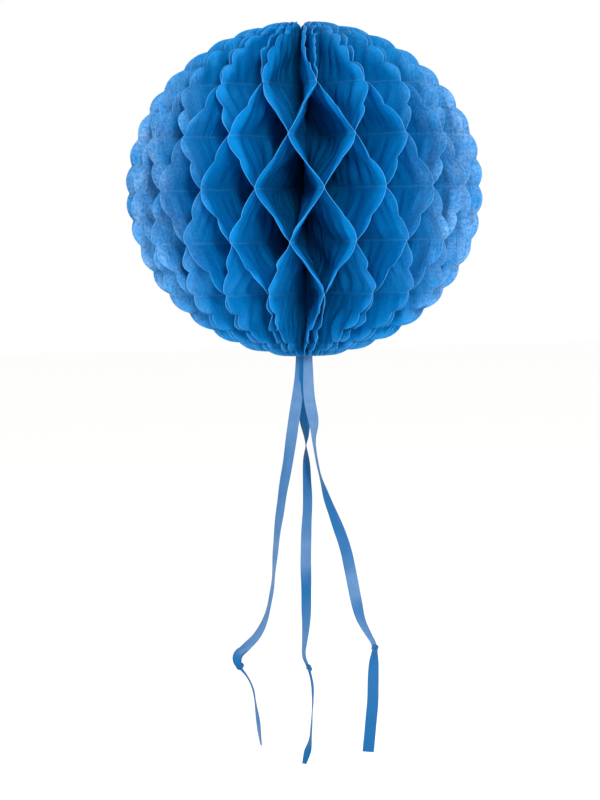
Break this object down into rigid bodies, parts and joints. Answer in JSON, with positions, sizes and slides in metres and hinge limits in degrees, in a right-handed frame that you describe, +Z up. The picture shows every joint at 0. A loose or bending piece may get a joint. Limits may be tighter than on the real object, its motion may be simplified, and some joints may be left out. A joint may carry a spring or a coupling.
{
  "type": "paper honeycomb ball",
  "caption": "Blue tissue paper honeycomb ball with scalloped leaves that fan open about a central spine, closed by card covers, with knotted ribbons hanging below.",
  "frame": {"origin": "top of the draw thread's knot, on the spine's axis, where the ball is hung", "axes": "+Z up along the spine, -Y towards the viewer, +X to the viewer's right; the cover boards' seam is on the +Y side"},
  "size_m": [0.2988, 0.2988, 0.6365],
  "materials": {
    "tissue": "matt creped tissue paper, dyed through",
    "card": "uncoated card, dyed to match the tissue",
    "pasted_spine": "tissue edges stiff with dry paste",
    "adhesive_pad": "clear double-sided adhesive",
    "thread": "twisted cotton thread",
    "ribbon": "woven satin ribbon with a soft sheen"
  },
  "bodies": {
    "spine": {"spine_core": "pasted_spine", "draw_thread": "thread", "ribbon_gather": "thread", "cover_board_fixed": "card", "closure_pads": "adhesive_pad", "ribbon_left": "ribbon", "ribbon_middle": "ribbon", "ribbon_right": "ribbon", "knot_left": "ribbon", "knot_middle": "ribbon", "knot_right": "ribbon"},
    "cover_swing": {"cover_board_swing": "card"},
    "leaf_01": {"leaf_01": "tissue"},
    "leaf_02": {"leaf_02": "tissue"},
    "leaf_03": {"leaf_03": "tissue"},
    "leaf_04": {"leaf_04": "tissue"},
    "leaf_05": {"leaf_05": "tissue"},
    "leaf_06": {"leaf_06": "tissue"},
    "leaf_07": {"leaf_07": "tissue"},
    "leaf_08": {"leaf_08": "tissue"},
    "leaf_09": {"leaf_09": "tissue"},
    "leaf_10": {"leaf_10": "tissue"},
    "leaf_11": {"leaf_11": "tissue"},
    "leaf_12": {"leaf_12": "tissue"},
    "leaf_13": {"leaf_13": "tissue"},
    "leaf_14": {"leaf_14": "tissue"},
    "leaf_15": {"leaf_15": "tissue"},
    "leaf_16": {"leaf_16": "tissue"},
    "leaf_17": {"leaf_17": "tissue"},
    "leaf_18": {"leaf_18": "tissue"},
    "leaf_19": {"leaf_19": "tissue"},
    "leaf_20": {"leaf_20": "tissue"},
    "leaf_21": {"leaf_21": "tissue"},
    "leaf_22": {"leaf_22": "tissue"},
    "leaf_23": {"leaf_23": "tissue"},
    "leaf_24": {"leaf_24": "tissue"},
    "leaf_25": {"leaf_25": "tissue"},
    "leaf_26": {"leaf_26": "tissue"},
    "leaf_27": {"leaf_27": "tissue"},
    "leaf_28": {"leaf_28": "tissue"},
    "leaf_29": {"leaf_29": "tissue"},
    "leaf_30": {"leaf_30": "tissue"},
    "leaf_31": {"leaf_31": "tissue"},
    "leaf_32": {"leaf_32": "tissue"},
    "leaf_33": {"leaf_33": "tissue"},
    "leaf_34": {"leaf_34": "tissue"},
    "leaf_35": {"leaf_35": "tissue"},
    "leaf_36": {"leaf_36": "tissue"},
    "leaf_37": {"leaf_37": "tissue"},
    "leaf_38": {"leaf_38": "tissue"},
    "leaf_39": {"leaf_39": "tissue"},
    "leaf_40": {"leaf_40": "tissue"}
  },
  "joints": [
    {"name": "fan_open", "type": "hinge", "parent": "spine", "child": "cover_swing", "pos_m": [0, 0, -0.1365], "axis": [0, 0, 1], "range_deg": [-354, 0]},
    {"name": "leaf_01_turn", "type": "hinge", "parent": "spine", "child": "leaf_01", "pos_m": [0, 0, -0.1365], "axis": [0, 0, 1], "range_deg": [-4.44, 0], "deforming": ["leaf_01"]},
    {"name": "leaf_02_turn", "type": "hinge", "parent": "spine", "child": "leaf_02", "pos_m": [0, 0, -0.1365], "axis": [0, 0, 1], "range_deg": [-13.29, 0], "deforming": ["leaf_02"]},
    {"name": "leaf_03_turn", "type": "hinge", "parent": "spine", "child": "leaf_03", "pos_m": [0, 0, -0.1365], "axis": [0, 0, 1], "range_deg": [-22.14, 0], "deforming": ["leaf_03"]},
    {"name": "leaf_04_turn", "type": "hinge", "parent": "spine", "child": "leaf_04", "pos_m": [0, 0, -0.1365], "axis": [0, 0, 1], "range_deg": [-30.99, 0], "deforming": ["leaf_04"]},
    {"name": "leaf_05_turn", "type": "hinge", "parent": "spine", "child": "leaf_05", "pos_m": [0, 0, -0.1365], "axis": [0, 0, 1], "range_deg": [-39.84, 0], "deforming": ["leaf_05"]},
    {"name": "leaf_06_turn", "type": "hinge", "parent": "spine", "child": "leaf_06", "pos_m": [0, 0, -0.1365], "axis": [0, 0, 1], "range_deg": [-48.69, 0], "deforming": ["leaf_06"]},
    {"name": "leaf_07_turn", "type": "hinge", "parent": "spine", "child": "leaf_07", "pos_m": [0, 0, -0.1365], "axis": [0, 0, 1], "range_deg": [-57.54, 0], "deforming": ["leaf_07"]},
    {"name": "leaf_08_turn", "type": "hinge", "parent": "spine", "child": "leaf_08", "pos_m": [0, 0, -0.1365], "axis": [0, 0, 1], "range_deg": [-66.39, 0], "deforming": ["leaf_08"]},
    {"name": "leaf_09_turn", "type": "hinge", "parent": "spine", "child": "leaf_09", "pos_m": [0, 0, -0.1365], "axis": [0, 0, 1], "range_deg": [-75.24, 0], "deforming": ["leaf_09"]},
    {"name": "leaf_10_turn", "type": "hinge", "parent": "spine", "child": "leaf_10", "pos_m": [0, 0, -0.1365], "axis": [0, 0, 1], "range_deg": [-84.09, 0], "deforming": ["leaf_10"]},
    {"name": "leaf_11_turn", "type": "hinge", "parent": "spine", "child": "leaf_11", "pos_m": [0, 0, -0.1365], "axis": [0, 0, 1], "range_deg": [-92.94, 0], "deforming": ["leaf_11"]},
    {"name": "leaf_12_turn", "type": "hinge", "parent": "spine", "child": "leaf_12", "pos_m": [0, 0, -0.1365], "axis": [0, 0, 1], "range_deg": [-101.79, 0], "deforming": ["leaf_12"]},
    {"name": "leaf_13_turn", "type": "hinge", "parent": "spine", "child": "leaf_13", "pos_m": [0, 0, -0.1365], "axis": [0, 0, 1], "range_deg": [-110.64, 0], "deforming": ["leaf_13"]},
    {"name": "leaf_14_turn", "type": "hinge", "parent": "spine", "child": "leaf_14", "pos_m": [0, 0, -0.1365], "axis": [0, 0, 1], "range_deg": [-119.49, 0], "deforming": ["leaf_14"]},
    {"name": "leaf_15_turn", "type": "hinge", "parent": "spine", "child": "leaf_15", "pos_m": [0, 0, -0.1365], "axis": [0, 0, 1], "range_deg": [-128.34, 0], "deforming": ["leaf_15"]},
    {"name": "leaf_16_turn", "type": "hinge", "parent": "spine", "child": "leaf_16", "pos_m": [0, 0, -0.1365], "axis": [0, 0, 1], "range_deg": [-137.19, 0], "deforming": ["leaf_16"]},
    {"name": "leaf_17_turn", "type": "hinge", "parent": "spine", "child": "leaf_17", "pos_m": [0, 0, -0.1365], "axis": [0, 0, 1], "range_deg": [-146.04, 0], "deforming": ["leaf_17"]},
    {"name": "leaf_18_turn", "type": "hinge", "parent": "spine", "child": "leaf_18", "pos_m": [0, 0, -0.1365], "axis": [0, 0, 1], "range_deg": [-154.89, 0], "deforming": ["leaf_18"]},
    {"name": "leaf_19_turn", "type": "hinge", "parent": "spine", "child": "leaf_19", "pos_m": [0, 0, -0.1365], "axis": [0, 0, 1], "range_deg": [-163.74, 0], "deforming": ["leaf_19"]},
    {"name": "leaf_20_turn", "type": "hinge", "parent": "spine", "child": "leaf_20", "pos_m": [0, 0, -0.1365], "axis": [0, 0, 1], "range_deg": [-172.59, 0], "deforming": ["leaf_20"]},
    {"name": "leaf_21_turn", "type": "hinge", "parent": "spine", "child": "leaf_21", "pos_m": [0, 0, -0.1365], "axis": [0, 0, 1], "range_deg": [-181.44, 0], "deforming": ["leaf_21"]},
    {"name": "leaf_22_turn", "type": "hinge", "parent": "spine", "child": "leaf_22", "pos_m": [0, 0, -0.1365], "axis": [0, 0, 1], "range_deg": [-190.29, 0], "deforming": ["leaf_22"]},
    {"name": "leaf_23_turn", "type": "hinge", "parent": "spine", "child": "leaf_23", "pos_m": [0, 0, -0.1365], "axis": [0, 0, 1], "range_deg": [-199.14, 0], "deforming": ["leaf_23"]},
    {"name": "leaf_24_turn", "type": "hinge", "parent": "spine", "child": "leaf_24", "pos_m": [0, 0, -0.1365], "axis": [0, 0, 1], "range_deg": [-207.99, 0], "deforming": ["leaf_24"]},
    {"name": "leaf_25_turn", "type": "hinge", "parent": "spine", "child": "leaf_25", "pos_m": [0, 0, -0.1365], "axis": [0, 0, 1], "range_deg": [-216.84, 0], "deforming": ["leaf_25"]},
    {"name": "leaf_26_turn", "type": "hinge", "parent": "spine", "child": "leaf_26", "pos_m": [0, 0, -0.1365], "axis": [0, 0, 1], "range_deg": [-225.69, 0], "deforming": ["leaf_26"]},
    {"name": "leaf_27_turn", "type": "hinge", "parent": "spine", "child": "leaf_27", "pos_m": [0, 0, -0.1365], "axis": [0, 0, 1], "range_deg": [-234.54, 0], "deforming": ["leaf_27"]},
    {"name": "leaf_28_turn", "type": "hinge", "parent": "spine", "child": "leaf_28", "pos_m": [0, 0, -0.1365], "axis": [0, 0, 1], "range_deg": [-243.39, 0], "deforming": ["leaf_28"]},
    {"name": "leaf_29_turn", "type": "hinge", "parent": "spine", "child": "leaf_29", "pos_m": [0, 0, -0.1365], "axis": [0, 0, 1], "range_deg": [-252.24, 0], "deforming": ["leaf_29"]},
    {"name": "leaf_30_turn", "type": "hinge", "parent": "spine", "child": "leaf_30", "pos_m": [0, 0, -0.1365], "axis": [0, 0, 1], "range_deg": [-261.09, 0], "deforming": ["leaf_30"]},
    {"name": "leaf_31_turn", "type": "hinge", "parent": "spine", "child": "leaf_31", "pos_m": [0, 0, -0.1365], "axis": [0, 0, 1], "range_deg": [-269.94, 0], "deforming": ["leaf_31"]},
    {"name": "leaf_32_turn", "type": "hinge", "parent": "spine", "child": "leaf_32", "pos_m": [0, 0, -0.1365], "axis": [0, 0, 1], "range_deg": [-278.79, 0], "deforming": ["leaf_32"]},
    {"name": "leaf_33_turn", "type": "hinge", "parent": "spine", "child": "leaf_33", "pos_m": [0, 0, -0.1365], "axis": [0, 0, 1], "range_deg": [-287.64, 0], "deforming": ["leaf_33"]},
    {"name": "leaf_34_turn", "type": "hinge", "parent": "spine", "child": "leaf_34", "pos_m": [0, 0, -0.1365], "axis": [0, 0, 1], "range_deg": [-296.49, 0], "deforming": ["leaf_34"]},
    {"name": "leaf_35_turn", "type": "hinge", "parent": "spine", "child": "leaf_35", "pos_m": [0, 0, -0.1365], "axis": [0, 0, 1], "range_deg": [-305.34, 0], "deforming": ["leaf_35"]},
    {"name": "leaf_36_turn", "type": "hinge", "parent": "spine", "child": "leaf_36", "pos_m": [0, 0, -0.1365], "axis": [0, 0, 1], "range_deg": [-314.19, 0], "deforming": ["leaf_36"]},
    {"name": "leaf_37_turn", "type": "hinge", "parent": "spine", "child": "leaf_37", "pos_m": [0, 0, -0.1365], "axis": [0, 0, 1], "range_deg": [-323.04, 0], "deforming": ["leaf_37"]},
    {"name": "leaf_38_turn", "type": "hinge", "parent": "spine", "child": "leaf_38", "pos_m": [0, 0, -0.1365], "axis": [0, 0, 1], "range_deg": [-331.89, 0], "deforming": ["leaf_38"]},
    {"name": "leaf_39_turn", "type": "hinge", "parent": "spine", "child": "leaf_39", "pos_m": [0, 0, -0.1365], "axis": [0, 0, 1], "range_deg": [-340.74, 0], "deforming": ["leaf_39"]},
    {"name": "leaf_40_turn", "type": "hinge", "parent": "spine", "child": "leaf_40", "pos_m": [0, 0, -0.1365], "axis": [0, 0, 1], "range_deg": [-349.59, 0], "deforming": ["leaf_40"]}
  ],
  "couplings": [
    {"joint": "leaf_01_turn", "follows": "fan_open", "ratio": 0.0125},
    {"joint": "leaf_02_turn", "follows": "fan_open", "ratio": 0.0375},
    {"joint": "leaf_03_turn", "follows": "fan_open", "ratio": 0.0625},
    {"joint": "leaf_04_turn", "follows": "fan_open", "ratio": 0.0875},
    {"joint": "leaf_05_turn", "follows": "fan_open", "ratio": 0.1125},
    {"joint": "leaf_06_turn", "follows": "fan_open", "ratio": 0.1375},
    {"joint": "leaf_07_turn", "follows": "fan_open", "ratio": 0.1625},
    {"joint": "leaf_08_turn", "follows": "fan_open", "ratio": 0.1875},
    {"joint": "leaf_09_turn", "follows": "fan_open", "ratio": 0.2125},
    {"joint": "leaf_10_turn", "follows": "fan_open", "ratio": 0.2375},
    {"joint": "leaf_11_turn", "follows": "fan_open", "ratio": 0.2625},
    {"joint": "leaf_12_turn", "follows": "fan_open", "ratio": 0.2875},
    {"joint": "leaf_13_turn", "follows": "fan_open", "ratio": 0.3125},
    {"joint": "leaf_14_turn", "follows": "fan_open", "ratio": 0.3375},
    {"joint": "leaf_15_turn", "follows": "fan_open", "ratio": 0.3625},
    {"joint": "leaf_16_turn", "follows": "fan_open", "ratio": 0.3875},
    {"joint": "leaf_17_turn", "follows": "fan_open", "ratio": 0.4125},
    {"joint": "leaf_18_turn", "follows": "fan_open", "ratio": 0.4375},
    {"joint": "leaf_19_turn", "follows": "fan_open", "ratio": 0.4625},
    {"joint": "leaf_20_turn", "follows": "fan_open", "ratio": 0.4875},
    {"joint": "leaf_21_turn", "follows": "fan_open", "ratio": 0.5125},
    {"joint": "leaf_22_turn", "follows": "fan_open", "ratio": 0.5375},
    {"joint": "leaf_23_turn", "follows": "fan_open", "ratio": 0.5625},
    {"joint": "leaf_24_turn", "follows": "fan_open", "ratio": 0.5875},
    {"joint": "leaf_25_turn", "follows": "fan_open", "ratio": 0.6125},
    {"joint": "leaf_26_turn", "follows": "fan_open", "ratio": 0.6375},
    {"joint": "leaf_27_turn", "follows": "fan_open", "ratio": 0.6625},
    {"joint": "leaf_28_turn", "follows": "fan_open", "ratio": 0.6875},
    {"joint": "leaf_29_turn", "follows": "fan_open", "ratio": 0.7125},
    {"joint": "leaf_30_turn", "follows": "fan_open", "ratio": 0.7375},
    {"joint": "leaf_31_turn", "follows": "fan_open", "ratio": 0.7625},
    {"joint": "leaf_32_turn", "follows": "fan_open", "ratio": 0.7875},
    {"joint": "leaf_33_turn", "follows": "fan_open", "ratio": 0.8125},
    {"joint": "leaf_34_turn", "follows": "fan_open", "ratio": 0.8375},
    {"joint": "leaf_35_turn", "follows": "fan_open", "ratio": 0.8625},
    {"joint": "leaf_36_turn", "follows": "fan_open", "ratio": 0.8875},
    {"joint": "leaf_37_turn", "follows": "fan_open", "ratio": 0.9125},
    {"joint": "leaf_38_turn", "follows": "fan_open", "ratio": 0.9375},
    {"joint": "leaf_39_turn", "follows": "fan_open", "ratio": 0.9625},
    {"joint": "leaf_40_turn", "follows": "fan_open", "ratio": 0.9875}
  ]
}
